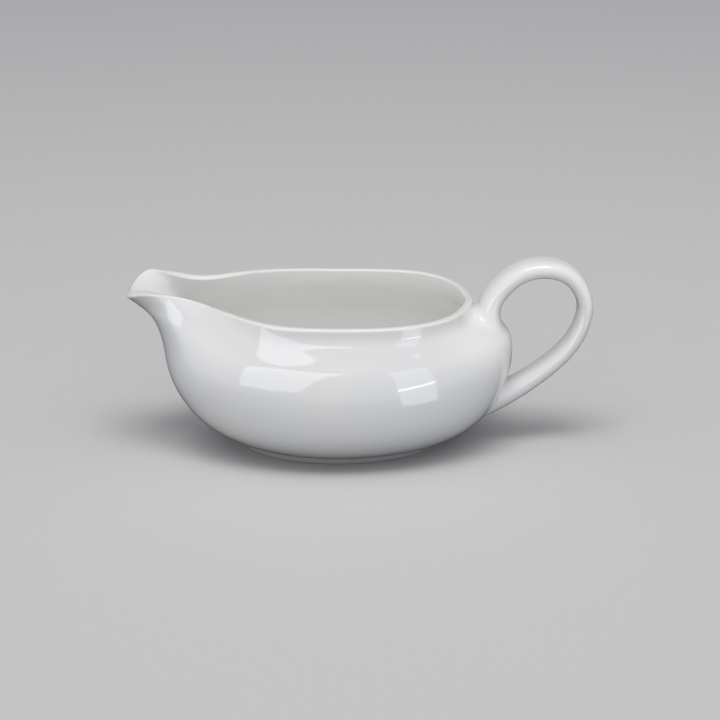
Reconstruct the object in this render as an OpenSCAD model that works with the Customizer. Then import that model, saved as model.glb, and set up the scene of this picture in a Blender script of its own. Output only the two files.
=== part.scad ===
// Porcelain gravy boat: an oval bowl with a pulled pouring spout, a foot ring,
// a loop handle and the two roots that join the handle to the bowl.
// Millimetres. +X runs toward the handle, -X toward the spout, Z is up from the table.

/* [Bowl] */
// Widest width of the belly
belly_w = 101.5; // [94:0.5:108]
// Reach of the belly behind the foot centre, on the handle side
belly_back = 80; // [76:0.5:84]
// Reach of the belly ahead of the foot centre, on the spout side
belly_front = 78.5; // [74:0.5:82]
// Thickness of the porcelain wall
wall_t = 3.5; // [2.8:0.1:4]
// Thickness of the floor at its middle
floor_t = 3.2; // [2.6:0.1:4.5]
// Height of the softly squared lip above the rim line
lip_h = 1.3; // [1:0.1:2]

/* [Mouth] */
// Height of the rim along the sides of the mouth
rim_z = 66.5; // [64:0.5:70]
// Width of the mouth at its widest
mouth_w = 89; // [82:0.5:92]
// Reach of the mouth behind the foot centre
mouth_back = 61.5; // [59:0.5:62]

/* [Spout] */
// Reach of the pouring tip ahead of the foot centre
spout_reach = 97.5; // [92:0.5:103]
// Spread of the two spout shoulders
spout_w = 47; // [40:0.5:50]
// Rise of the spout shoulders above the rim
spout_rise = 11; // [8:0.5:13]
// Drop of the pouring tip below the spout shoulders
tip_drop = 12.5; // [9:0.5:14]

/* [Foot] */
// Reach of the foot ring behind its centre
foot_back = 47; // [44:0.5:49]
// Reach of the foot ring ahead of its centre
foot_front = 46; // [42:0.5:48]
// Width of the foot ring
foot_w = 66; // [62:0.5:70]
// Height of the foot ring
foot_h = 3; // [2:0.1:4]
// Width of the flat that the boat stands on
foot_t = 4.5; // [3.5:0.1:6]

/* [Handle] */
// Reach of the handle's middle line behind the foot centre
handle_reach = 112.5; // [108:0.5:118]
// Height of the handle's middle line at its control peak
handle_top = 83; // [80:0.5:88]
// Width of the strap at its narrowest, side to side
handle_w = 14.5; // [12:0.5:17]
// Thickness of the strap at its thinnest
handle_t = 7; // [6:0.1:8]

/* [Hidden] */

// the part stands with the middle of its overall length over the origin
shift_x = -10.4;

glaze = [0.93, 0.93, 0.91];
cast_glaze = [0.90, 0.91, 0.93];
slip_glaze = [0.86, 0.87, 0.90];
biscuit = [0.85, 0.82, 0.76];

// mesh density
around = 64;      // points round each ring of the bowl
outer_rows = 28;  // bands up the outside
lip_rows = 6;     // bands over the lip
inner_rows = 20;  // bands down the inside
strap_sides = 24; // points round the handle strap
strap_rings = 44; // bands along the handle strap

// the bowl's control net has 20 columns: 0 at the handle end, 10 at the spout tip
half_cols = 10;
cols = 2 * half_cols;
col_step = 360 / cols;
// a uniform cubic spline pulls an oval inward by this share, so ovals are drawn larger
grow = 1 / (1 - (1 - cos(col_step)) / 3);

// levels of the bowl's body: height, back reach, front reach, half width
base_z = foot_h;
ovals = [
    [base_z, foot_back - 1.5, foot_front - 1, foot_w / 2 - 0.75],
    [base_z + 1.5, 0.685 * belly_back, 0.625 * belly_front, 0.77 * belly_w / 2],
    [0.172 * rim_z, 0.852 * belly_back, 0.834 * belly_front, 0.928 * belly_w / 2],
    [0.475 * rim_z, 0.99 * belly_back, 0.997 * belly_front, belly_w / 2],
    [0.735 * rim_z, belly_back, 1.006 * belly_front, 0.965 * belly_w / 2]
];

// the rim, from the handle end round one side to the tip
shoulder_z = rim_z + spout_rise;
rim = [
    [mouth_back, 0, rim_z - 0.5],
    [0.967 * mouth_back, 0.227 * mouth_w / 2, rim_z + 0.5],
    [0.894 * mouth_back, 0.565 * mouth_w / 2, rim_z + 0.3],
    [0.675 * mouth_back, 0.885 * mouth_w / 2, rim_z + 0.5],
    [0.325 * mouth_back, mouth_w / 2, rim_z],
    [0, mouth_w / 2, rim_z],
    [-0.272 * spout_reach, mouth_w / 2, rim_z + 0.5],
    [-0.492 * spout_reach, 0.727 * mouth_w / 2, rim_z + 0.25 * spout_rise],
    [-0.667 * spout_reach, 0.6 * spout_w / 2, rim_z + 0.5 * spout_rise],
    [-0.9 * spout_reach, spout_w / 2, shoulder_z],
    [-spout_reach, 0, shoulder_z - tip_drop]
];

// how far each level between shoulder and rim has drawn in to the rim's plan and
// climbed to its height: at the handle end, the sides, the spout's flanks and under its tip
draws = [[0.22, 0.29, 0.31, 0.26], [0.68, 0.72, 0.55, 0.38], [1, 1.02, 0.65, 0.59]];
climbs = [[0.38, 0.12, 0.44, 0.64], [0.6, 0.5, 0.62, 0.69], [0.76, 0.7, 0.83, 0.72]];
// where each column stands between those four, counted from the handle end
quarter = [0, 0.2, 0.7, 1, 1, 1, 1, 1.3, 1.8, 2, 3];
lip_squareness = 3;

// handle middle line in the XZ plane, from inside the shoulder over the loop to the belly
loop_in = 69;
reach = handle_reach - loop_in;
rise = handle_top - 60;
loop = [
    [loop_in - 2, 51.5],
    [loop_in - 1, 60],
    [loop_in, 68.5],
    [loop_in + 0.333 * reach, handle_top],
    [loop_in + 0.805 * reach, 60 + 0.935 * rise],
    [loop_in + 0.989 * reach, 60 + 0.37 * rise],
    [loop_in + reach, 58],
    [loop_in + 0.84 * reach, 41.5],
    [loop_in + 0.276 * reach, 23],
    [loop_in - 3, 17]
];
// strap thickness and width at those points, swelling toward the two roots
thick = handle_t * [1.88, 1.6, 1.32, 1.18, 1.2, 1, 1, 1.07, 1.28, 1.66];
wide = handle_w * [1.6, 1.42, 1.24, 1.17, 1.17, 1.03, 1, 1, 1.1, 1.34];
squareness = 2.6; // of the strap's section: 2 would be an ellipse
upper_cut = 2.25; // place along the middle line where the upper root begins
lower_cut = 7.75; // and where the lower root begins
root_rings = 14;

// ---- spline helpers ----
// weights of a uniform cubic spline at t in one span, and their slopes
function weights(t) = [pow(1 - t, 3), 3 * pow(t, 3) - 6 * t * t + 4,
                       -3 * pow(t, 3) + 3 * t * t + 3 * t + 1, pow(t, 3)] / 6;
function slopes(t) = [-(1 - t) * (1 - t), 3 * t * t - 4 * t,
                      -3 * t * t + 2 * t + 1, t * t] / 2;
function unit(v) = v / norm(v);
// an open list gets one extra entry at each end so that its spline reaches its end points
function extended(list) = let (n = len(list))
    concat([2 * list[0] - list[1]], list, [2 * list[n - 1] - list[n - 2]]);
function blend4(w, list, i) = w[0] * list[i] + w[1] * list[i + 1] + w[2] * list[i + 2] + w[3] * list[i + 3];
function span_of(list, s) = min(floor(s), len(list) - 4);
function along(list, s) = let (i = span_of(list, s)) blend4(weights(s - i), list, i);
function along_slope(list, s) = let (i = span_of(list, s)) blend4(slopes(s - i), list, i);
// a closed row of control columns, sampled at every point round the ring
function around_ring(row, slope) = [for (k = [0 : around - 1])
    let (u = k * cols / around, i = floor(u), w = slope ? slopes(u - i) : weights(u - i))
    w[0] * row[(i + cols - 1) % cols] + w[1] * row[i % cols]
    + w[2] * row[(i + 1) % cols] + w[3] * row[(i + 2) % cols]];
function mirrored(half) = concat(half, [for (i = [half_cols - 1 : -1 : 1])
    [half[i][0], -half[i][1], half[i][2]]]);

// ---- bowl ----
function oval_half(o) = [for (i = [0 : half_cols]) let (a = i * col_step)
    [(cos(a) > 0 ? o[1] : o[2]) * cos(a) * grow, o[3] * sin(a) * grow, o[0]]];
function between(four, s) = lookup(s, [for (i = [0 : 3]) [i, four[i]]]);
function neck_half(k, low) = [for (i = [0 : half_cols])
    let (d = between(draws[k], quarter[i]),
         c = between(climbs[k], quarter[i]),
         p = low[i] + d * (rim[i] - low[i]))
    [p[0], p[1], low[i][2] + c * (rim[i][2] - low[i][2])]];
top_oval = oval_half(ovals[4]);
net = extended(concat(
    [for (o = ovals) mirrored(oval_half(o))],
    [for (k = [0 : len(draws) - 1]) mirrored(neck_half(k, top_oval))],
    [mirrored(rim)]));
top_s = len(net) - 3;

function outside(s) = around_ring(along(net, s), false);
function normals(s) = let (p = around_ring(along(net, s), true), q = around_ring(along_slope(net, s), false))
    [for (k = [0 : around - 1]) unit(cross(p[k], q[k]))];
function inside(s) = outside(s) - wall_t * normals(s);
// cosine or sine of a turn, swelled so that a half turn draws a softly squared corner
function soft(c, squareness) = sign(c) * pow(abs(c), 2 / squareness);
// the lip sweeps half a turn from the outer top ring to the inner top ring
function lip(f) = let (o = outside(top_s), n = normals(top_s), q = around_ring(along_slope(net, top_s), false),
                       across = wall_t / 2 * soft(cos(180 * f), lip_squareness),
                       above = lip_h * soft(sin(180 * f), lip_squareness))
    [for (k = [0 : around - 1]) let (up = unit(q[k] - (q[k] * n[k]) * n[k]))
     o[k] + (across - wall_t / 2) * n[k] + above * up];
function floor_ring(ring, f) = [for (p = ring)
    [p[0] * f, p[1] * f, base_z + floor_t + (p[2] - base_z - floor_t) * f * f]];

outer_rings = [for (r = [0 : outer_rows]) outside(top_s * r / outer_rows)];
lip_rings = [for (r = [1 : lip_rows - 1]) lip(r / lip_rows)];
inner_rings = [for (r = [inner_rows : -1 : 0]) inside(top_s * r / inner_rows)];
floor_rings = [for (f = [0.75, 0.4]) floor_ring(inner_rings[inner_rows], f)];

function flat(lists) = [for (l = lists) for (p = l) p];
// triangles between stacked rings, outward when the rings climb
function bands(rings, n) = [for (r = [0 : rings - 2]) for (k = [0 : n - 1])
    let (a = r * n + k, b = r * n + (k + 1) % n) each [[a, a + n, b], [b, a + n, b + n]]];

module bowl() color(glaze) {
    rings = concat(outer_rings, lip_rings, inner_rings, floor_rings);
    m = len(rings) * around;
    points = concat(flat(rings), [[0, 0, base_z + floor_t]]);
    polyhedron(points, concat(
        [[for (k = [0 : around - 1]) k]],
        bands(len(rings), around),
        [for (k = [0 : around - 1]) [m - around + k, m, m - around + (k + 1) % around]]), 12);
}

// the bowl filled to its crest, which the two roots are fitted against
module bowl_outside() {
    rings = concat(outer_rings, [for (r = [0 : lip_rows / 2 - 1]) lip_rings[r]]);
    m = len(rings) * around;
    polyhedron(concat(flat(rings), [[0, 0, rim_z]]), concat(
        [[for (k = [0 : around - 1]) k]],
        bands(len(rings), around),
        [for (k = [0 : around - 1]) [m - around + k, m, m - around + (k + 1) % around]]), 12);
}

// ---- foot ring ----
function foot_oval(inset) = [for (k = [0 : around - 1]) let (a = 360 * k / around)
    [((cos(a) > 0 ? foot_back : foot_front) - inset) * cos(a), (foot_w / 2 - inset) * sin(a)]];
module foot_ring() color(biscuit) linear_extrude(foot_h) difference() {
    polygon(foot_oval(0));
    polygon(foot_oval(foot_t));
}

// ---- handle ----
line = extended(loop);
thick_line = extended(thick);
wide_line = extended(wide);
function strap_ring(s) = let (p = along(line, s), d = unit(along_slope(line, s)),
                              a = along(thick_line, s) / 2, b = along(wide_line, s) / 2)
    [for (k = [0 : strap_sides - 1]) let (g = 360 * k / strap_sides, u = a * soft(cos(g), squareness))
     [p[0] + d[1] * u, b * soft(sin(g), squareness), p[1] - d[0] * u]];

module handle() color(cast_glaze) {
    n = strap_sides;
    rings = [for (r = [0 : strap_rings]) strap_ring(upper_cut + (lower_cut - upper_cut) * r / strap_rings)];
    polyhedron(flat(rings), concat(
        [[for (k = [0 : n - 1]) k]],
        bands(len(rings), n),
        [[for (k = [n - 1 : -1 : 0]) strap_rings * n + k]]), 12);
}

// a root fills the space between the strap's end and the bowl's outside
module root(from, to) difference() {
    for (r = [0 : root_rings - 1]) hull() {
        a = strap_ring(from + (to - from) * r / root_rings);
        b = strap_ring(from + (to - from) * (r + 1) / root_rings);
        polyhedron(concat(a, b), bands(2, strap_sides));
    }
    bowl_outside();
}
module upper_handle_joint() color(slip_glaze) root(upper_cut, 0);
module lower_handle_joint() color(slip_glaze) root(lower_cut, len(loop) - 1);

translate([shift_x, 0, 0]) bowl();
translate([shift_x, 0, 0]) foot_ring();
translate([shift_x, 0, 0]) handle();
translate([shift_x, 0, 0]) upper_handle_joint();
translate([shift_x, 0, 0]) lower_handle_joint();
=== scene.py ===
"""A white glazed porcelain gravy boat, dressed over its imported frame.

The boat is built from five sub-assemblies: the bowl with its pulled spout, the foot ring, the
handle strap and the two roots that stick the strap to the bowl. Lengths are in millimetres until a
mesh is made, and +X runs from the spout to the handle.
"""

import logging
import math
from dataclasses import dataclass, field
from enum import Enum
from typing import Any, Dict, List, Optional, Sequence, Tuple, Union

import bpy
import numpy as np
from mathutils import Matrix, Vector
from mathutils.bvhtree import BVHTree


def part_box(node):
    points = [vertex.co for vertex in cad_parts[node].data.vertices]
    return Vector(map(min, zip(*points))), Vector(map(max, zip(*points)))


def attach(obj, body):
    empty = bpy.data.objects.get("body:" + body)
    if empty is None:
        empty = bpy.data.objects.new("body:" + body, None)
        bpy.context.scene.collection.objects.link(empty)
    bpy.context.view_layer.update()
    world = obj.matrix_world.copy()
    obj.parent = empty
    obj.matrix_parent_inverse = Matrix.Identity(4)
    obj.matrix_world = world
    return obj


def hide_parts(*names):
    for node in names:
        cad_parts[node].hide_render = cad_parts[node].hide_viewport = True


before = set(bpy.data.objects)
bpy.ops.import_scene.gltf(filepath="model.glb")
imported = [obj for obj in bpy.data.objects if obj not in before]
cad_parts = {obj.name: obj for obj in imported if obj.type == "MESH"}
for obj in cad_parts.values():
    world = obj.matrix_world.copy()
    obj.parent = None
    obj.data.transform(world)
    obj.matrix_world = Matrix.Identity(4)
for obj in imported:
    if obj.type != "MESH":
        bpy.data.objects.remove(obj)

MM = 0.001
GLAZE_IOR = 1.52
CONTROL_COLUMNS = 20
HALF_COLUMNS = CONTROL_COLUMNS // 2

Colour = Tuple[float, float, float]
Spot = Sequence[float]

log = logging.getLogger("gravy_boat")


# ---------------------------------------------------------------- splines and meshes


def spline_weights(t: np.ndarray) -> np.ndarray:
    """Gives the four weights of a uniform cubic spline.

    Args:
        t: places inside one span, from 0 to 1.

    Returns:
        One row of four weights for each place.
    """
    return np.stack([(1 - t) ** 3, 3 * t**3 - 6 * t**2 + 4,
                     -3 * t**3 + 3 * t**2 + 3 * t + 1, t**3], axis=1) / 6


def spline_slopes(t: np.ndarray) -> np.ndarray:
    """Gives the slopes of the four weights of a uniform cubic spline.

    Args:
        t: places inside one span, from 0 to 1.

    Returns:
        One row of four slopes for each place.
    """
    return np.stack([-((1 - t) ** 2), 3 * t**2 - 4 * t,
                     -3 * t**2 + 2 * t + 1, t**2], axis=1) / 2


def unit(vectors: np.ndarray) -> np.ndarray:
    """Scales vectors to length 1 along the last axis."""
    return vectors / np.maximum(np.linalg.norm(vectors, axis=-1, keepdims=True), 1e-12)


def open_matrix(count: int, places: np.ndarray, slopes: bool = False) -> np.ndarray:
    """Builds the matrix that samples an open spline which reaches both end points.

    Args:
        count: number of control values.
        places: where to sample, from 0 to count - 1.
        slopes: samples the slope instead of the value.

    Returns:
        A matrix of len(places) rows and count columns.
    """
    spans = np.minimum(np.floor(places).astype(int), count - 2)
    weights = (spline_slopes if slopes else spline_weights)(places - spans)
    padded = np.zeros((len(places), count + 2))
    for offset in range(4):
        padded[np.arange(len(places)), spans + offset] += weights[:, offset]
    ends = np.zeros((count + 2, count))
    ends[1:-1] = np.eye(count)
    ends[0, :2] = 2, -1
    ends[-1, -2:] = -1, 2
    return padded @ ends


def closed_matrix(count: int, places: np.ndarray, slopes: bool = False) -> np.ndarray:
    """Builds the matrix that samples a closed spline.

    Args:
        count: number of control values round the loop.
        places: where to sample, from 0 to count.
        slopes: samples the slope instead of the value.

    Returns:
        A matrix of len(places) rows and count columns.
    """
    spans = np.floor(places).astype(int)
    weights = (spline_slopes if slopes else spline_weights)(places - spans)
    matrix = np.zeros((len(places), count))
    for offset in range(4):
        matrix[np.arange(len(places)), (spans - 1 + offset) % count] += weights[:, offset]
    return matrix


def add_mesh(name: str, points: Sequence[Spot], faces: Sequence[Tuple[int, ...]],
             smooth: bool = False) -> bpy.types.Object:
    """Makes a mesh object and links it to the scene.

    Args:
        name: the name of the object and its mesh.
        points: the mesh's points in metres.
        faces: the numbers of each face's points.
        smooth: shades the faces smoothly.

    Returns:
        The linked object.
    """
    mesh = bpy.data.meshes.new(name)
    mesh.from_pydata(points, [], faces)
    mesh.update()
    if smooth:
        mesh.polygons.foreach_set("use_smooth", [True] * len(mesh.polygons))
    piece = bpy.data.objects.new(name, mesh)
    bpy.context.scene.collection.objects.link(piece)
    return piece


class RingMesh:
    """Stacks closed rings of equal length into one closed mesh with its own corner normals."""

    def __init__(self, around: int) -> None:
        """Starts an empty stack.

        Args:
            around: number of points in each ring.
        """
        self.around = around
        self.rings: List[np.ndarray] = []
        self.fixed: Dict[int, np.ndarray] = {}

    def add(self, ring: np.ndarray, normals: Optional[np.ndarray] = None) -> None:
        """Puts a ring on top of the stack.

        Args:
            ring: its points in millimetres, one row each.
            normals: its shading normals, or None to work them out from the neighbours.
        """
        if normals is not None:
            self.fixed[len(self.rings)] = unit(normals)
        self.rings.append(np.asarray(ring, float))

    def faces(self) -> List[Tuple[int, ...]]:
        """Lists the faces.

        Returns:
            The quads between rings and the fans that close both ends.
        """
        n, faces = self.around, []
        for row in range(len(self.rings) - 1):
            for k in range(n):
                a, b = row * n + k, row * n + (k + 1) % n
                faces.append((a, b, b + n, a + n))
        first, last = len(self.rings) * n, len(self.rings) * n + 1
        top = (len(self.rings) - 1) * n
        for k in range(n):
            faces.append((first, (k + 1) % n, k))
            faces.append((last, top + k, top + (k + 1) % n))
        return faces

    def normals(self) -> np.ndarray:
        """Works out the shading normals.

        Returns:
            One normal for each point, the two end middles last.
        """
        grid = np.array(self.rings)
        along = np.empty_like(grid)
        along[1:-1] = grid[2:] - grid[:-2]
        along[0], along[-1] = grid[1] - grid[0], grid[-1] - grid[-2]
        across = np.roll(grid, -1, axis=1) - np.roll(grid, 1, axis=1)
        normals = unit(np.cross(across, along))
        for row, fixed in self.fixed.items():
            normals[row] = fixed
        ends = [-unit(along[0].mean(axis=0)), unit(along[-1].mean(axis=0))]
        return np.vstack([normals.reshape(-1, 3), ends])

    def build(self, name: str,
              middles: Optional[Tuple[Spot, Spot]] = None) -> bpy.types.Object:
        """Makes the object.

        Args:
            name: the piece's name.
            middles: the points that close the first and last ring, or None for their own middles.

        Returns:
            The linked, smoothly shaded object.
        """
        points = np.vstack(self.rings + [
            middles[0] if middles else self.rings[0].mean(axis=0),
            middles[1] if middles else self.rings[-1].mean(axis=0)])
        piece = add_mesh(name, (points * MM).tolist(), self.faces(), smooth=True)
        piece.data.normals_split_custom_set_from_vertices(self.normals().tolist())
        return piece


# ---------------------------------------------------------------- shader graphs


class Expr:
    """A number on a shader socket that takes part in ordinary arithmetic."""

    def __init__(self, graph: "Graph", socket: bpy.types.NodeSocket) -> None:
        """Wraps an output socket of a graph."""
        self.graph, self.socket = graph, socket

    def _math(self, operation: str, first: Any, second: Any = None) -> "Expr":
        """Adds a Math node.

        Args:
            operation: the Math node's operation.
            first: its first value.
            second: its second value, where it has one.

        Returns:
            The node's result.
        """
        inputs = {0: first} if second is None else {0: first, 1: second}
        return self.graph.node("ShaderNodeMath", {"operation": operation}, inputs)

    def __add__(self, other: Any) -> "Expr":
        """Adds."""
        return self._math("ADD", self, other)

    __radd__ = __add__

    def __mul__(self, other: Any) -> "Expr":
        """Multiplies."""
        return self._math("MULTIPLY", self, other)

    __rmul__ = __mul__

    def __sub__(self, other: Any) -> "Expr":
        """Subtracts another value from this one."""
        return self._math("SUBTRACT", self, other)

    def __rsub__(self, other: Any) -> "Expr":
        """Subtracts this value from another one."""
        return self._math("SUBTRACT", other, self)

    def band(self, low: float, high: float) -> "Expr":
        """Gives a soft step from 0 at low to 1 at high, which may lie below low.

        Args:
            low: the value where the step is 0.
            high: the value where the step is 1.

        Returns:
            The step.
        """
        rising = low < high
        return self.graph.node("ShaderNodeMapRange", {"interpolation_type": "SMOOTHSTEP"}, {
            "Value": self, "From Min": min(low, high), "From Max": max(low, high),
            "To Min": 0.0 if rising else 1.0, "To Max": 1.0 if rising else 0.0})


Feed = Union[float, Sequence[float], Expr]


class Graph:
    """The node tree of a new material or world, filled through one method."""

    def __init__(self, owner: Union[bpy.types.Material, bpy.types.World],
                 shader: str = "Principled BSDF") -> None:
        """Starts on the owner's own tree.

        Args:
            owner: the material or world.
            shader: the name of the shader node that it starts with.
        """
        owner.use_nodes = True
        self.tree = owner.node_tree
        self.shader = self.tree.nodes[shader]

    def node(self, kind: str, settings: Optional[Dict[str, Any]] = None,
             inputs: Optional[Dict[Union[str, int], Feed]] = None,
             output: Union[str, int] = 0) -> Expr:
        """Adds a node.

        Args:
            kind: the node's type.
            settings: its settings, set before its sockets.
            inputs: the value or link of each input, by name or number.
            output: which output to return.

        Returns:
            The chosen output.
        """
        made = self.tree.nodes.new(kind)
        for name, value in (settings or {}).items():
            setattr(made, name, value)
        for key, value in (inputs or {}).items():
            self.feed(made.inputs[key], value)
        return Expr(self, made.outputs[output])

    def feed(self, socket: bpy.types.NodeSocket, value: Feed) -> None:
        """Links a socket to an expression, or sets its own value.

        Args:
            socket: the input socket.
            value: the expression or the value.
        """
        if isinstance(value, Expr):
            self.tree.links.new(value.socket, socket)
        else:
            socket.default_value = value

    def place(self, stretch: Sequence[float] = (1.0, 1.0, 1.0)) -> Expr:
        """Gives object coordinates in metres, stretched along each axis.

        Args:
            stretch: the factor for each axis.

        Returns:
            The stretched coordinates.
        """
        coordinates = self.node("ShaderNodeTexCoord", output="Object")
        return self.node("ShaderNodeVectorMath", {"operation": "MULTIPLY"},
                         {0: coordinates, 1: tuple(stretch)})

    def noise(self, size_mm: float, detail: float = 2.0, roughness: float = 0.5,
              where: Optional[Expr] = None) -> Expr:
        """Returns a noise value from 0 to 1.

        Args:
            size_mm: the size of its larger features.
            detail: how many finer layers it has.
            roughness: the strength of the finer layers.
            where: coordinates, or None for plain object coordinates.

        Returns:
            The noise value.
        """
        return self.node("ShaderNodeTexNoise", inputs={
            "Vector": where or self.place(), "Scale": 1 / (size_mm * MM),
            "Detail": detail, "Roughness": roughness})

    def blend(self, share: Feed, low: Feed, high: Feed) -> Expr:
        """Mixes two colours.

        Args:
            share: how much of the second colour there is, from 0 to 1.
            low: the first colour.
            high: the second colour.

        Returns:
            The mixed colour.
        """
        return self.node("ShaderNodeMix", {"data_type": "RGBA"}, {
            0: share, 6: low if isinstance(low, Expr) else (*low, 1.0),
            7: high if isinstance(high, Expr) else (*high, 1.0)}, 2)

    def bump(self, height: Feed, depth_mm: float, under: Optional[Expr] = None) -> Expr:
        """Returns a normal bumped by a height from 0 to 1.

        Args:
            height: the height.
            depth_mm: how deep the whole range of height is.
            under: a normal to bump on top of.

        Returns:
            The bumped normal.
        """
        inputs: Dict[Union[str, int], Feed] = {
            "Height": height, "Distance": depth_mm * MM, "Strength": 1.0}
        if under is not None:
            inputs["Normal"] = under
        return self.node("ShaderNodeBump", inputs=inputs)


# ---------------------------------------------------------------- finishes


@dataclass(frozen=True)
class GlazedPorcelain:
    """Clear gloss glaze fired over a fine white body."""

    name: str = "glazed_porcelain"
    white: Colour = (0.935, 0.928, 0.905)
    cool: Colour = (0.92, 0.922, 0.925)
    speck: Colour = (0.30, 0.27, 0.23)
    speck_cover: float = 0.8
    speck_spacing_mm: float = 14.0
    roughness: float = 0.045
    smear: float = 0.03
    swell_mm: float = 0.09
    peel_mm: float = 0.0035

    def speckle(self, graph: Graph) -> Expr:
        """Marks the few pin specks of iron that come through the glaze.

        Args:
            graph: the graph that the nodes go into.

        Returns:
            A mask that is 1 on a speck.
        """
        where = graph.place()
        near = graph.node("ShaderNodeTexVoronoi", {"feature": "F1"},
                          {"Vector": where, "Scale": 1 / (self.speck_spacing_mm * MM)})
        dot = near.band(0.017, 0.009)
        return dot * graph.noise(31.0, 0.0, where=where).band(0.60, 0.63)

    def body(self, graph: Graph) -> Expr:
        """Returns the body colour, drifting a little between a warm and a cool white."""
        drift = graph.noise(48.0, 1.0).band(0.3, 0.7)
        return graph.blend(drift, self.white, self.cool)

    def surface(self, graph: Graph) -> Tuple[Expr, Expr, Expr]:
        """Works out what changes over the glaze.

        Args:
            graph: the graph that the nodes go into.

        Returns:
            The colour, the roughness and the normal.
        """
        colour = graph.blend(self.speckle(graph) * self.speck_cover, self.body(graph), self.speck)
        smear = graph.noise(9.0, 3.0, 0.6, graph.place((1.0, 1.0, 2.2)))
        rough = self.roughness + smear.band(0.45, 0.75) * self.smear
        swell = graph.noise(26.0, 0.0)
        peel = graph.noise(2.6, 1.0)
        normal = graph.bump(peel, self.peel_mm, graph.bump(swell, self.swell_mm))
        return colour, rough, normal

    def material(self) -> bpy.types.Material:
        """Builds the material.

        Returns:
            The new material.
        """
        made = bpy.data.materials.new(self.name)
        graph = Graph(made)
        colour, rough, normal = self.surface(graph)
        shader = graph.shader.inputs
        graph.feed(shader["Base Color"], colour)
        graph.feed(shader["Roughness"], rough)
        graph.feed(shader["Normal"], normal)
        shader["IOR"].default_value = GLAZE_IOR
        return made


@dataclass(frozen=True)
class WipedFootInPaintedShade(GlazedPorcelain):
    """The foot ring's finish: glazed walls painted mid grey as painted shade for the belly's shadow
    on the ring, above a standing edge that was wiped and fired dry.
    """

    name: str = "foot_porcelain"
    # Painted shade: the glaze colours are mid grey, not white, standing in for the shadow that the
    # belly casts on the ring.
    white: Colour = (0.56, 0.56, 0.55)
    cool: Colour = (0.53, 0.535, 0.54)
    biscuit: Colour = (0.58, 0.56, 0.51)
    biscuit_shade: float = 0.9
    dry_roughness: float = 0.6
    grain_mm: float = 0.03
    line_mm: float = 0.75
    line_blur_mm: float = 0.25
    line_wander_mm: float = 0.3

    def material(self) -> bpy.types.Material:
        """Builds the material.

        Returns:
            The new material.
        """
        made = bpy.data.materials.new(self.name)
        graph = Graph(made)
        colour, rough, normal = self.surface(graph)
        height = graph.node("ShaderNodeSeparateXYZ", inputs={0: graph.place((1 / MM,) * 3)},
                            output="Z")
        wander = graph.noise(5.0, 2.0) * self.line_wander_mm
        dry = (height - wander).band(self.line_mm, self.line_mm - self.line_blur_mm)
        grain = graph.noise(0.5, 3.0, 0.7)
        shaded = tuple(self.biscuit_shade * channel for channel in self.biscuit)
        biscuit = graph.blend(grain.band(0.3, 0.7), self.biscuit, shaded)
        shader = graph.shader.inputs
        graph.feed(shader["Base Color"], graph.blend(dry, colour, biscuit))
        graph.feed(shader["Roughness"], rough + dry * self.dry_roughness)
        graph.feed(shader["Normal"], graph.bump(grain * dry, self.grain_mm, normal))
        shader["IOR"].default_value = GLAZE_IOR
        return made


@dataclass(frozen=True)
class PaleFloor:
    """A plain matt board under the boat."""

    name: str = "pale_floor"
    tone: Colour = (0.72, 0.72, 0.72)
    fleck_shade: float = 0.97

    def material(self) -> bpy.types.Material:
        """Builds the material.

        Returns:
            The new material.
        """
        made = bpy.data.materials.new(self.name)
        graph = Graph(made)
        fleck = graph.noise(4.0, 3.0)
        darker = tuple(self.fleck_shade * channel for channel in self.tone)
        graph.feed(graph.shader.inputs["Base Color"], graph.blend(fleck, self.tone, darker))
        graph.shader.inputs["Roughness"].default_value = 0.8
        graph.shader.inputs["Specular IOR Level"].default_value = 0.0
        return made


# ---------------------------------------------------------------- the bowl


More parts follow.
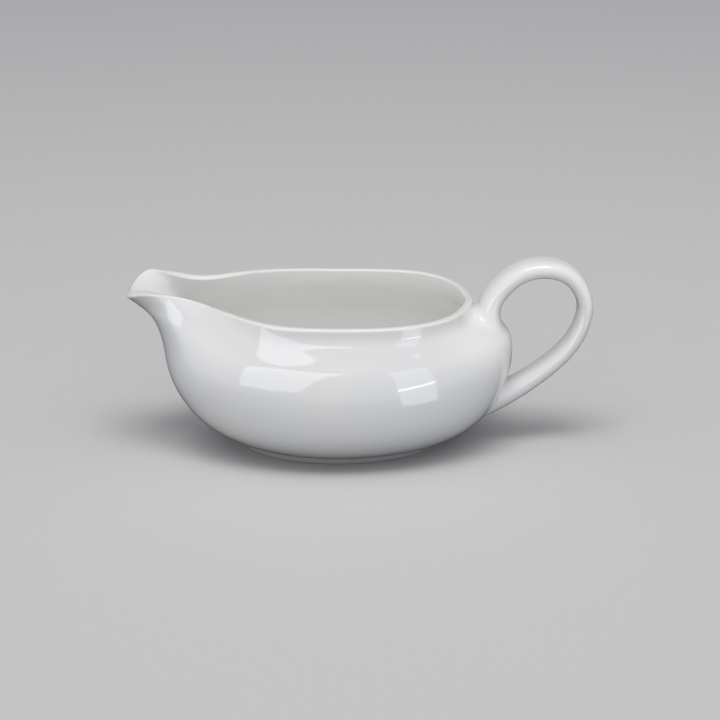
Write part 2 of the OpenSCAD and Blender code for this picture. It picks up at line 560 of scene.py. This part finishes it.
@dataclass
class Bowl:
    """The cast bowl: belly, collar, rounded lip and pulled spout."""

    origin_x: float
    belly_w: float = 101.5
    belly_back: float = 80.0
    belly_front: float = 78.5
    wall: float = 3.5
    floor: float = 3.2
    lip_h: float = 1.3
    lip_squareness: float = 3.0
    rim_z: float = 66.5
    mouth_w: float = 89.0
    mouth_back: float = 61.5
    spout_reach: float = 97.5
    spout_w: float = 47.0
    spout_rise: float = 11.0
    tip_drop: float = 12.5
    foot_back: float = 47.0
    foot_front: float = 46.0
    foot_w: float = 66.0
    foot_h: float = 3.0
    around: int = 320
    outer_rows: int = 150
    lip_rows: int = 18
    inner_rows: int = 110
    floor_rows: int = 25
    underside_shares: Tuple[float, ...] = (0.12, 0.3, 0.5, 0.7, 0.86, 0.96)
    draws: Tuple[Tuple[float, ...], ...] = (
        (0.22, 0.29, 0.31, 0.26), (0.68, 0.72, 0.55, 0.38), (1, 1.02, 0.65, 0.59))
    climbs: Tuple[Tuple[float, ...], ...] = (
        (0.38, 0.12, 0.44, 0.64), (0.6, 0.5, 0.62, 0.69), (0.76, 0.7, 0.83, 0.72))
    quarter: Tuple[float, ...] = (0, 0.2, 0.7, 1, 1, 1, 1, 1.3, 1.8, 2, 3)
    net: np.ndarray = field(init=False)

    def __post_init__(self) -> None:
        """Works out the control net from the sizes."""
        halves = [self.oval(*level) for level in self.levels()]
        halves += [self.neck(k, halves[-1]) for k in range(len(self.draws))]
        halves.append(self.rim())
        self.net = np.array([self.mirrored(half) for half in halves])

    def levels(self) -> List[Tuple[float, float, float, float]]:
        """Lists the ovals of the body.

        Returns:
            Height, back reach, front reach and half width at each level.
        """
        half, back, front, rim_z = self.belly_w / 2, self.belly_back, self.belly_front, self.rim_z
        return [
            (self.foot_h, self.foot_back - 1.5, self.foot_front - 1, self.foot_w / 2 - 0.75),
            (self.foot_h + 1.5, 0.685 * back, 0.625 * front, 0.77 * half),
            (0.172 * rim_z, 0.852 * back, 0.834 * front, 0.928 * half),
            (0.475 * rim_z, 0.99 * back, 0.997 * front, half),
            (0.735 * rim_z, back, 1.006 * front, 0.965 * half),
        ]

    def rim(self) -> np.ndarray:
        """Lays out the rim.

        Returns:
            Its control points from the handle end round one side to the tip.
        """
        back, half, reach = self.mouth_back, self.mouth_w / 2, self.spout_reach
        z, rise = self.rim_z, self.spout_rise
        return np.array([
            (back, 0, z - 0.5), (0.967 * back, 0.227 * half, z + 0.5),
            (0.894 * back, 0.565 * half, z + 0.3), (0.675 * back, 0.885 * half, z + 0.5),
            (0.325 * back, half, z), (0, half, z),
            (-0.272 * reach, half, z + 0.5), (-0.492 * reach, 0.727 * half, z + 0.25 * rise),
            (-0.667 * reach, 0.3 * self.spout_w, z + 0.5 * rise),
            (-0.9 * reach, 0.5 * self.spout_w, z + rise), (-reach, 0, z + rise - self.tip_drop)])

    @staticmethod
    def oval(z: float, back: float, front: float, half: float) -> np.ndarray:
        """Lays out half an oval, drawn larger by the share that the spline pulls in.

        Args:
            z: its height.
            back: its reach toward the handle.
            front: its reach toward the spout.
            half: half its width.

        Returns:
            One row for each column from the handle end to the spout end.
        """
        angles = np.arange(HALF_COLUMNS + 1) * math.tau / CONTROL_COLUMNS
        grow = 1 / (1 - (1 - math.cos(math.tau / CONTROL_COLUMNS)) / 3)
        reach = np.where(np.cos(angles) > 0, back, front)
        return np.stack([reach * np.cos(angles) * grow, half * np.sin(angles) * grow,
                         np.full(len(angles), z)], 1)

    def neck(self, k: int, shoulder: np.ndarray) -> np.ndarray:
        """Returns the control points of one level between shoulder and rim.

        Args:
            k: which level, from the lowest.
            shoulder: the control points of the body's top level.

        Returns:
            Half a row of control points.
        """
        draw = np.interp(self.quarter, range(4), self.draws[k])
        climb = np.interp(self.quarter, range(4), self.climbs[k])
        share = np.stack([draw, draw, climb], 1)
        return shoulder + share * (self.rim() - shoulder)

    @staticmethod
    def mirrored(half: np.ndarray) -> np.ndarray:
        """Completes half a row of control points with its mirror image."""
        return np.vstack([half, (half * (1, -1, 1))[-2:0:-1]])

    def sheet(self, rows: int) -> Tuple[np.ndarray, np.ndarray, np.ndarray]:
        """Samples the outer surface.

        Args:
            rows: number of bands from the foot to the rim.

        Returns:
            Points, normals and upward slopes, each of rows + 1 rings.
        """
        count = len(self.net)
        up = np.linspace(0, count - 1, rows + 1)
        turn = np.arange(self.around) * CONTROL_COLUMNS / self.around
        values, climbing = open_matrix(count, up), open_matrix(count, up, True)
        ring = closed_matrix(CONTROL_COLUMNS, turn)
        turning = closed_matrix(CONTROL_COLUMNS, turn, True)
        points = np.einsum("vk,kcx,uc->vux", values, self.net, ring)
        sideways = np.einsum("vk,kcx,uc->vux", values, self.net, turning)
        upward = np.einsum("vk,kcx,uc->vux", climbing, self.net, ring)
        shift = np.array([self.origin_x, 0, 0])
        return points + shift, unit(np.cross(sideways, upward)), upward

    def lip(self, top: np.ndarray, out: np.ndarray,
            upward: np.ndarray) -> List[Tuple[np.ndarray, np.ndarray]]:
        """Rounds the lip from the outer surface over to the inner one.

        Args:
            top: the outer surface's top ring.
            out: its normals.
            upward: its upward slopes.

        Returns:
            The rings between the two surfaces with their normals.
        """
        up = unit(upward - np.sum(upward * out, axis=1, keepdims=True) * out)
        middle, rings = top - out * self.wall / 2, []
        power = 2 / self.lip_squareness
        for angle in np.linspace(0, math.pi, self.lip_rows + 1)[1:-1]:
            c, s = math.cos(angle), math.sin(angle)
            across = math.copysign(abs(c) ** power, c) * self.wall / 2
            tilt = math.copysign(abs(c) ** (2 - power), c) / (self.wall / 2)
            rings.append((middle + across * out + s**power * self.lip_h * up,
                          tilt * out + s ** (2 - power) / self.lip_h * up))
        return rings

    def floor_rings(self, lowest: np.ndarray) -> List[np.ndarray]:
        """Lays out the dished floor.

        Args:
            lowest: the wall's lowest ring.

        Returns:
            The floor's rings, from the wall inward.
        """
        centre = np.array([self.origin_x, 0, self.foot_h + self.floor])
        return [centre + (lowest - centre) * (share, share, share * share)
                for share in np.linspace(1, 0, self.floor_rows + 1)[1:-1]]

    def underside(self, lowest: np.ndarray) -> List[np.ndarray]:
        """Returns the rings of the flat underside inside the foot ring, from the middle outward."""
        centre = np.array([self.origin_x, 0, self.foot_h])
        return [centre + (lowest - centre) * share for share in self.underside_shares]

    def build(self) -> bpy.types.Object:
        """Builds the bowl as one closed shell.

        Returns:
            The bowl's object.
        """
        outer, out, upward = self.sheet(self.outer_rows)
        inner_rings, inner_out, _ = self.sheet(self.inner_rows)
        stack = RingMesh(self.around)
        down = np.tile([0.0, 0.0, -1.0], (self.around, 1))
        for ring in self.underside(outer[0]):
            stack.add(ring, down)
        for ring, normals in zip(outer, out):
            stack.add(ring, normals)
        for ring, normals in self.lip(outer[-1], out[-1], upward[-1]):
            stack.add(ring, normals)
        for ring, normals in zip(inner_rings[::-1], inner_out[::-1]):
            stack.add(ring - self.wall * normals, -normals)
        for ring in self.floor_rings(stack.rings[-1]):
            stack.add(ring)
        middles = ([self.origin_x, 0, self.foot_h],
                   [self.origin_x, 0, self.foot_h + self.floor])
        return stack.build("porcelain_bowl", middles)

    def outside_tree(self) -> BVHTree:
        """Prepares the outer surface for searches.

        Returns:
            A search tree over it, in millimetres.
        """
        points, _, _ = self.sheet(self.outer_rows * 2)
        rows, n = points.shape[:2]
        quads = [(r * n + k, r * n + (k + 1) % n, (r + 1) * n + (k + 1) % n, (r + 1) * n + k)
                 for r in range(rows - 1) for k in range(n)]
        return BVHTree.FromPolygons(points.reshape(-1, 3).tolist(), quads)

    def dress(self, piece: bpy.types.Object, finish: GlazedPorcelain) -> None:
        """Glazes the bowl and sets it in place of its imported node.

        Args:
            piece: the piece.
            finish: its finish.
        """
        piece.data.materials.append(finish.material())
        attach(piece, "root")
        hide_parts("bowl")


# ---------------------------------------------------------------- the foot ring


@dataclass
class FootRing:
    """The oval ring that the boat stands on, with softly rounded edges."""

    origin_x: float
    back: float = 47.0
    front: float = 46.0
    width: float = 66.0
    height: float = 3.0
    flat: float = 4.5
    bottom_round: float = 0.9
    top_round: float = 0.45
    corner_steps: int = 8
    around: int = 320

    def profile(self) -> List[Tuple[float, float]]:
        """Lays out the ring's closed section.

        Returns:
            Pairs of inset and height, going up the outside.
        """
        low, high, points = self.bottom_round, self.top_round, []

        def corner(inset: float, z: float, radius: float, start: float) -> None:
            """Adds a rounded corner.

            Args:
                inset: the inset of its middle.
                z: the height of its middle.
                radius: its radius.
                start: the angle where its quarter turn starts, in degrees.
            """
            for step in range(self.corner_steps + 1):
                angle = math.radians(start + 90 * step / self.corner_steps)
                points.append((inset - radius * math.cos(angle), z + radius * math.sin(angle)))

        corner(low, low, low, -90)
        corner(high, self.height - high, high, 0)
        corner(self.flat - high, self.height - high, high, 90)
        corner(self.flat - low, low, low, 180)
        return points

    def ring(self, inset: float, z: float) -> np.ndarray:
        """Lays out one oval of the ring.

        Args:
            inset: how far it lies inside the ring's outer edge.
            z: its height.

        Returns:
            The oval's points.
        """
        angles = np.arange(self.around) * math.tau / self.around
        reach = np.where(np.cos(angles) > 0, self.back, self.front) - inset
        return np.stack([self.origin_x + reach * np.cos(angles),
                         (self.width / 2 - inset) * np.sin(angles), np.full(self.around, z)], 1)

    def build(self) -> bpy.types.Object:
        """Builds the ring as a closed band.

        Returns:
            The ring's object.
        """
        rings = [self.ring(inset, z) for inset, z in self.profile()]
        n, rows = self.around, len(rings)
        faces = []
        for row in range(rows):
            low, high = row * n, (row + 1) % rows * n
            faces += [(low + k, low + (k + 1) % n, high + (k + 1) % n, high + k) for k in range(n)]
        points = (np.vstack(rings) * MM).tolist()
        return add_mesh("foot_ring_band", points, faces, smooth=True)

    def dress(self, piece: bpy.types.Object, finish: WipedFootInPaintedShade) -> None:
        """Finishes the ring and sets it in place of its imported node.

        Args:
            piece: the piece.
            finish: its finish.
        """
        piece.data.materials.append(finish.material())
        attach(piece, "root")
        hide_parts("foot_ring")


# ---------------------------------------------------------------- the handle and its roots


@dataclass
class Strap:
    """The handle's soft-cornered strap along its middle line."""

    origin_x: float
    reach: float = 112.5
    top: float = 83.0
    width: float = 14.5
    thickness: float = 7.0
    squareness: float = 2.6
    loop_in: float = 69.0
    upper_cut: float = 2.25
    lower_cut: float = 7.75
    sides: int = 96
    rings: int = 220
    thick: Tuple[float, ...] = (1.88, 1.6, 1.32, 1.18, 1.2, 1, 1, 1.07, 1.28, 1.66)
    wide: Tuple[float, ...] = (1.6, 1.42, 1.24, 1.17, 1.17, 1.03, 1, 1, 1.1, 1.34)

    def middle_line(self) -> np.ndarray:
        """Lays out the middle line.

        Returns:
            Its control points: along, height, thickness and width.
        """
        start = self.loop_in
        span, rise = self.reach - start, self.top - 60
        line = np.array([
            (start - 2, 51.5), (start - 1, 60), (start, 68.5), (start + 0.333 * span, self.top),
            (start + 0.805 * span, 60 + 0.935 * rise), (start + 0.989 * span, 60 + 0.37 * rise),
            (start + span, 58), (start + 0.84 * span, 41.5), (start + 0.276 * span, 23),
            (start - 3, 17)])
        return np.column_stack([line, self.thickness * np.array(self.thick),
                                self.width * np.array(self.wide)])

    def ring(self, place: float) -> Tuple[np.ndarray, np.ndarray]:
        """Works out one section of the strap.

        Args:
            place: where along the middle line, counted in control points.

        Returns:
            The section's points and its outward normals.
        """
        control = self.middle_line()
        where = np.array([place])
        x, z, thick, wide = (open_matrix(len(control), where) @ control)[0]
        slope = (open_matrix(len(control), where, True) @ control)[0, :2]
        dx, dz = slope / np.linalg.norm(slope)
        angle = np.arange(self.sides) * math.tau / self.sides
        c, s = np.cos(angle), np.sin(angle)
        power = 2 / self.squareness
        u = thick / 2 * np.sign(c) * np.abs(c) ** power
        v = wide / 2 * np.sign(s) * np.abs(s) ** power
        nu = np.sign(c) * np.abs(c) ** (2 - power) / thick
        nv = np.sign(s) * np.abs(s) ** (2 - power) / wide
        points = np.stack([self.origin_x + x + dz * u, v, z - dx * u], 1)
        return points, unit(np.stack([dz * nu, nv, -dx * nu], 1))

    def build(self) -> bpy.types.Object:
        """Builds the strap between its two roots.

        Returns:
            The strap's object.
        """
        stack = RingMesh(self.sides)
        for place in np.linspace(self.upper_cut, self.lower_cut, self.rings + 1):
            stack.add(*self.ring(place))
        return stack.build("handle_strap")

    def dress(self, piece: bpy.types.Object, finish: GlazedPorcelain) -> None:
        """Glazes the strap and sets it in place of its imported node.

        Args:
            piece: the piece.
            finish: its finish.
        """
        piece.data.materials.append(finish.material())
        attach(piece, "root")
        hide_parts("handle")


class RootEnd(Enum):
    """Which end of the strap a root belongs to."""

    UPPER = "upper_handle_joint"
    LOWER = "lower_handle_joint"


@dataclass
class Root:
    """The luted root between one end of the strap and the bowl, sponged to a soft corner."""

    strap: Strap
    bowl: Bowl
    end: RootEnd
    broad: float = 5.5
    tight: float = 5.0
    lower_share: float = 0.5
    most_of_side: float = 0.7
    sink: float = 0.25
    tuck: float = 0.3
    track_steps: int = 160
    straight_steps: int = 14
    curve_steps: int = 12

    def softness(self, k: int) -> float:
        """Works out the corner's reach, which is tight where the upper root faces the mouth.

        Args:
            k: which side of the strap.

        Returns:
            The reach in millimetres.
        """
        if self.end is RootEnd.LOWER:
            return self.lower_share * self.tight
        away = min(1.0, max(0.0, 1 + math.cos(k * math.tau / self.strap.sides)))
        return self.tight + (self.broad - self.tight) * away * away * (3 - 2 * away)

    def track(self) -> Tuple[np.ndarray, np.ndarray]:
        """Follows every side of the strap from its cut toward the bowl.

        Returns:
            Points and normals, one ring for each step.
        """
        start, stop = self.strap.upper_cut, 0.0
        if self.end is RootEnd.LOWER:
            start, stop = self.strap.lower_cut, len(self.strap.middle_line()) - 1.0
        places = np.linspace(start, stop, self.track_steps)
        rings = [self.strap.ring(place) for place in places]
        return np.array([r[0] for r in rings]), np.array([r[1] for r in rings])

    def landing(self, points: np.ndarray, tree: BVHTree) -> Tuple[float, np.ndarray]:
        """Finds where one side of the strap meets the bowl.

        Args:
            points: the side's points, from the cut on.
            tree: search tree over the bowl's outside.

        Returns:
            The place, counted in points, and the spot itself.
        """
        before = 0.0
        for index, point in enumerate(points):
            spot, normal, _, _ = tree.find_nearest(Vector(point))
            gap = (Vector(point) - spot).dot(normal)
            if gap <= 0:
                share = before / (before - gap) if index else 0.0
                place = index - 1 + share if index else 0.0
                low = max(index - 1, 0)
                return place, points[low] + (points[index] - points[low]) * share
            before = gap
        return len(points) - 1.0, points[-1]

    def side(self, points: np.ndarray, normals: np.ndarray, soft: float,
             tree: BVHTree) -> Tuple[np.ndarray, np.ndarray]:
        """Lays one side of the root, from the strap's cut down to the bowl.

        Args:
            points: the strap side's points, from the cut on.
            normals: its outward normals.
            soft: the corner's reach.
            tree: search tree over the bowl's outside.

        Returns:
            The root side's points, and the bowl's outward direction at its last one.
        """
        place, corner = self.landing(points, tree)
        lengths = np.concatenate([[0], np.cumsum(np.linalg.norm(np.diff(points, axis=0), axis=1))])
        reached = np.interp(place, np.arange(len(points)), lengths)
        soft = min(soft, self.most_of_side * reached)
        leave = reached - soft
        straight = [np.array([np.interp(length, lengths, points[:, axis]) for axis in range(3)])
                    for length in np.linspace(0, leave, self.straight_steps)]
        _, normal, _, _ = tree.find_nearest(Vector(corner))
        face = np.array(normal)
        out = normals[int(place)]
        out = unit(out - (out @ face) * face)
        spot, normal, _, _ = tree.find_nearest(Vector(corner + out * soft))
        foot, face = np.array(spot), np.array(normal)
        curve = [(1 - t) ** 2 * straight[-1] + 2 * t * (1 - t) * corner + t * t * foot
                 for t in np.linspace(0, 1, self.curve_steps + 1)[1:]]
        under = foot - face * self.sink - out * self.tuck
        return np.array(straight + curve + [under]), face

    def build(self) -> bpy.types.Object:
        """Builds the root.

        Returns:
            The root's object.
        """
        tree = self.bowl.outside_tree()
        points, normals = self.track()
        sides, faces = [], []
        for k in range(self.strap.sides):
            line, face = self.side(points[:, k], normals[:, k], self.softness(k), tree)
            sides.append(line)
            faces.append(face)
        grid = np.array(sides).transpose(1, 0, 2)
        stack = RingMesh(self.strap.sides)
        rows = range(len(grid)) if self.end is RootEnd.LOWER else reversed(range(len(grid)))
        for row in rows:
            if row == 0:
                stack.add(grid[row], normals[0])
            elif row >= len(grid) - 2:
                stack.add(grid[row], np.array(faces))
            else:
                stack.add(grid[row])
        name = "upper_root" if self.end is RootEnd.UPPER else "lower_root"
        return stack.build(name)

    def dress(self, piece: bpy.types.Object, finish: GlazedPorcelain) -> None:
        """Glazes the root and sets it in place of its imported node.

        Args:
            piece: the piece.
            finish: its finish.
        """
        piece.data.materials.append(finish.material())
        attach(piece, "root")
        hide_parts(self.end.value)


# ---------------------------------------------------------------- the studio


@dataclass(frozen=True)
class GlowingCloth:
    """The lit front cloth of a softbox, with a brighter line where its tube sits behind it."""

    name: str
    radiance: float
    tint: Colour
    tube_at: float
    tube_gain: float
    tube_half: float = 0.035

    def material(self) -> bpy.types.Material:
        """Builds the material.

        Returns:
            The new material.
        """
        made = bpy.data.materials.new(self.name)
        graph = Graph(made)
        spot = graph.node("ShaderNodeTexCoord", output="UV")
        down = graph.node("ShaderNodeSeparateXYZ", inputs={0: spot}, output="Y")
        line = (down.band(self.tube_at - self.tube_half, self.tube_at)
                * down.band(self.tube_at + self.tube_half, self.tube_at))
        hot = tuple(channel * self.tube_gain for channel in self.tint)
        shader = graph.shader.inputs
        shader["Base Color"].default_value = (0.0, 0.0, 0.0, 1.0)
        shader["Specular IOR Level"].default_value = 0.0
        graph.feed(shader["Emission Color"], graph.blend(line, self.tint, hot))
        shader["Emission Strength"].default_value = self.radiance
        return made


@dataclass
class SoftBox:
    """A softbox, as its four corners are seen from the boat."""

    cloth: GlowingCloth
    corners: Tuple[Tuple[float, float], ...]
    distance: float
    only_gloss: bool = False
    aim_height: float = 0.045
    cells: int = 12

    @staticmethod
    def direction(azimuth: float, elevation: float) -> np.ndarray:
        """Returns the way to a bearing from the camera's side of the boat, both in degrees."""
        a, e = math.radians(azimuth), math.radians(elevation)
        return np.array([math.sin(a) * math.cos(e), -math.cos(a) * math.cos(e), math.sin(e)])

    def build(self) -> bpy.types.Object:
        """Hangs the softbox: corners run top left, top right, bottom right, bottom left.

        Returns:
            The cloth's object.
        """
        aim = np.array([0.0, 0.0, self.aim_height])
        top_left, top_right, low_right, low_left = (
            aim + self.direction(*corner) * self.distance for corner in self.corners)
        steps = np.linspace(0, 1, self.cells + 1)
        points, places = [], []
        for down in steps:
            for across in steps:
                top = top_left + (top_right - top_left) * across
                low = low_left + (low_right - low_left) * across
                points.append((top + (low - top) * down).tolist())
                places.append((across, down))
        n = self.cells + 1
        faces = [(r * n + c, r * n + c + 1, (r + 1) * n + c + 1, (r + 1) * n + c)
                 for r in range(self.cells) for c in range(self.cells)]
        card = add_mesh(self.cloth.name, points, faces)
        layer = card.data.uv_layers.new(name="across_and_down")
        for loop in card.data.loops:
            layer.data[loop.index].uv = places[loop.vertex_index]
        card.data.materials.append(self.cloth.material())
        card.visible_camera = False
        card.visible_shadow = False
        card.visible_diffuse = not self.only_gloss
        return card


@dataclass
class Studio:
    """Floor, surroundings, soft lights and camera."""

    aim: Tuple[float, float, float] = (-0.0004, -0.0009, 0.038)
    azimuth: float = -0.9
    elevation: float = 20.4
    distance: float = 0.911
    lens: float = 99.75
    floor_half: float = 3.0
    sky: Tuple[Tuple[float, float], ...] = (
        (-1.0, 0.0), (-0.55, 0.0), (-0.38, 0.25), (-0.25, 1.08), (0.0, 1.1), (0.12, 0.95),
        (0.24, 0.45), (0.6, 0.45), (1.0, 0.6))
    sky_ceiling: float = 4.0
    sky_strength: float = 1.18
    behind: float = 0.28
    front_edge: float = -0.1
    back_edge: float = 0.7
    tint: Colour = (0.965, 0.98, 1.02)
    # Painted shadow: a near-black oval, hidden from the camera, stands in for the boat's own shadow
    # on the floor around its foot.
    shadow_oval: Tuple[float, float] = (0.112, 0.103)
    shadow_oval_depth: float = 0.0005
    shadow_oval_tone: float = 0.02
    shadow_oval_points: int = 96

    def lay_floor(self, finish: PaleFloor) -> bpy.types.Object:
        """Lays the floor that the boat stands on. Only the camera sees it.

        Args:
            finish: its finish.

        Returns:
            The floor's object.
        """
        half = self.floor_half
        corners = [(-half, -half, 0), (half, -half, 0), (half, half, 0), (-half, half, 0)]
        floor = add_mesh("floor", corners, [(0, 1, 2, 3)])
        floor.data.materials.append(finish.material())
        floor.visible_glossy = False
        floor.visible_diffuse = False
        return floor

    def lay_shadow_oval(self) -> bpy.types.Object:
        """Lays a dark oval under the boat as a painted shadow, which the boat sees in the floor's
        place.

        Returns:
            The oval's object.
        """
        turns = np.linspace(0, math.tau, self.shadow_oval_points + 1)[:-1]
        long, wide = self.shadow_oval
        edge = [(long * math.cos(turn), wide * math.sin(turn), -self.shadow_oval_depth) for turn in turns]
        shadow_oval = add_mesh("painted_shadow_oval", edge, [tuple(range(self.shadow_oval_points))])
        # Its near-black finish is painted shadow, not a real cloth.
        cloth = bpy.data.materials.new("painted_shadow_finish")
        shader = Graph(cloth).shader.inputs
        shader["Base Color"].default_value = (*(self.shadow_oval_tone,) * 3, 1.0)
        shader["Roughness"].default_value = 0.9
        shadow_oval.data.materials.append(cloth)
        shadow_oval.visible_camera = False
        shadow_oval.visible_shadow = False
        return shadow_oval

    def draw_sky(self, curve: bpy.types.ShaderNodeFloatCurve) -> None:
        """Sets a curve node's points from the sky's heights and levels.

        Args:
            curve: the node, still with its first two points.
        """
        points = curve.mapping.curves[0].points
        curve.mapping.clip_max_y = self.sky_ceiling
        points[0].location = (0.0, self.sky[0][1])
        points[1].location = (1.0, self.sky[-1][1])
        for height, level in self.sky[1:-1]:
            points.new(0.5 + 0.5 * height, level)
        for point in points:
            point.handle_type = "VECTOR"
        curve.mapping.update()

    def light_surroundings(self) -> None:
        """Lights the surroundings: bright at the horizon in front, dim above, dark below."""
        world = bpy.data.worlds.new("surroundings")
        bpy.context.scene.world = world
        graph = Graph(world, "Background")
        way = graph.node("ShaderNodeTexCoord", output="Generated")
        height = graph.node("ShaderNodeSeparateXYZ", inputs={0: way}, output="Z")
        away = graph.node("ShaderNodeSeparateXYZ", inputs={0: way}, output="Y")
        level = graph.node("ShaderNodeFloatCurve", inputs={"Value": graph.node(
            "ShaderNodeMapRange", inputs={"Value": height, "From Min": -1.0})})
        self.draw_sky(level.socket.node)
        fall = graph.node("ShaderNodeMapRange", inputs={
            "Value": away, "From Min": self.front_edge, "From Max": self.back_edge,
            "To Min": 1.0, "To Max": self.behind})
        tinted = graph.node("ShaderNodeVectorMath", {"operation": "SCALE"},
                            {0: self.tint, "Scale": level * fall})
        graph.feed(graph.shader.inputs["Color"], tinted)
        graph.feed(graph.shader.inputs["Strength"], self.sky_strength)

    def soft_boxes(self) -> List[SoftBox]:
        """Lists the soft lights.

        Returns:
            One on each side, seen only in the glaze, and one above.
        """
        left = GlowingCloth("left_softbox", 3.9, (0.95, 0.97, 1.02), 0.72, 1.0)
        right = GlowingCloth("right_softbox", 3.1, (0.95, 0.97, 1.02), 0.6, 4.2)
        above = GlowingCloth("overhead_softbox", 5.6, (1.0, 0.975, 0.935), 0.5, 1.0)
        return [
            SoftBox(left, ((-43, 9), (4, 11), (-17, -13), (-48, -14)), 1.3, True),
            SoftBox(right, ((20, 3), (37, 6), (50, -26), (30, -25)), 1.3, True),
            SoftBox(above, ((-90, 78), (90, 78), (45, 60), (-45, 60)), 1.4),
        ]

    def place_camera(self) -> None:
        """Sets the camera at its height and side."""
        data = bpy.data.cameras.new("camera")
        data.sensor_width, data.lens = 36.0, self.lens
        camera = bpy.data.objects.new("camera", data)
        azimuth, elevation = math.radians(self.azimuth), math.radians(self.elevation)
        away = Vector((math.sin(azimuth) * math.cos(elevation),
                       -math.cos(azimuth) * math.cos(elevation), math.sin(elevation)))
        camera.location = Vector(self.aim) + away * self.distance
        camera.rotation_euler = away.to_track_quat("Z", "Y").to_euler()
        bpy.context.scene.collection.objects.link(camera)
        bpy.context.scene.camera = camera

    def build(self) -> None:
        """Builds the whole studio."""
        self.lay_floor(PaleFloor())
        self.lay_shadow_oval()
        self.light_surroundings()
        for box in self.soft_boxes():
            box.build()
        self.place_camera()
        bpy.context.scene.view_settings.view_transform = "Standard"


def main() -> None:
    """Builds the boat and its studio in order and reports each piece."""
    logging.basicConfig(level=logging.INFO, format="%(name)s: %(message)s")
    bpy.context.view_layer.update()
    low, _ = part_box("foot_ring")
    origin_x = low[0] / MM + FootRing(0.0).front
    bowl, foot, strap = Bowl(origin_x), FootRing(origin_x), Strap(origin_x)
    roots = [Root(strap, bowl, RootEnd.UPPER), Root(strap, bowl, RootEnd.LOWER)]
    glaze = GlazedPorcelain()
    steps: List[Tuple[Any, GlazedPorcelain]] = [(bowl, glaze), (foot, WipedFootInPaintedShade()), (strap, glaze)]
    steps += [(root, glaze) for root in roots]
    for assembly, finish in steps:
        piece = assembly.build()
        assembly.dress(piece, finish)
        mesh = piece.data
        log.info("%s: %d points, %d faces", piece.name, len(mesh.vertices), len(mesh.polygons))
    Studio().build()


if __name__ == "__main__":
    main()
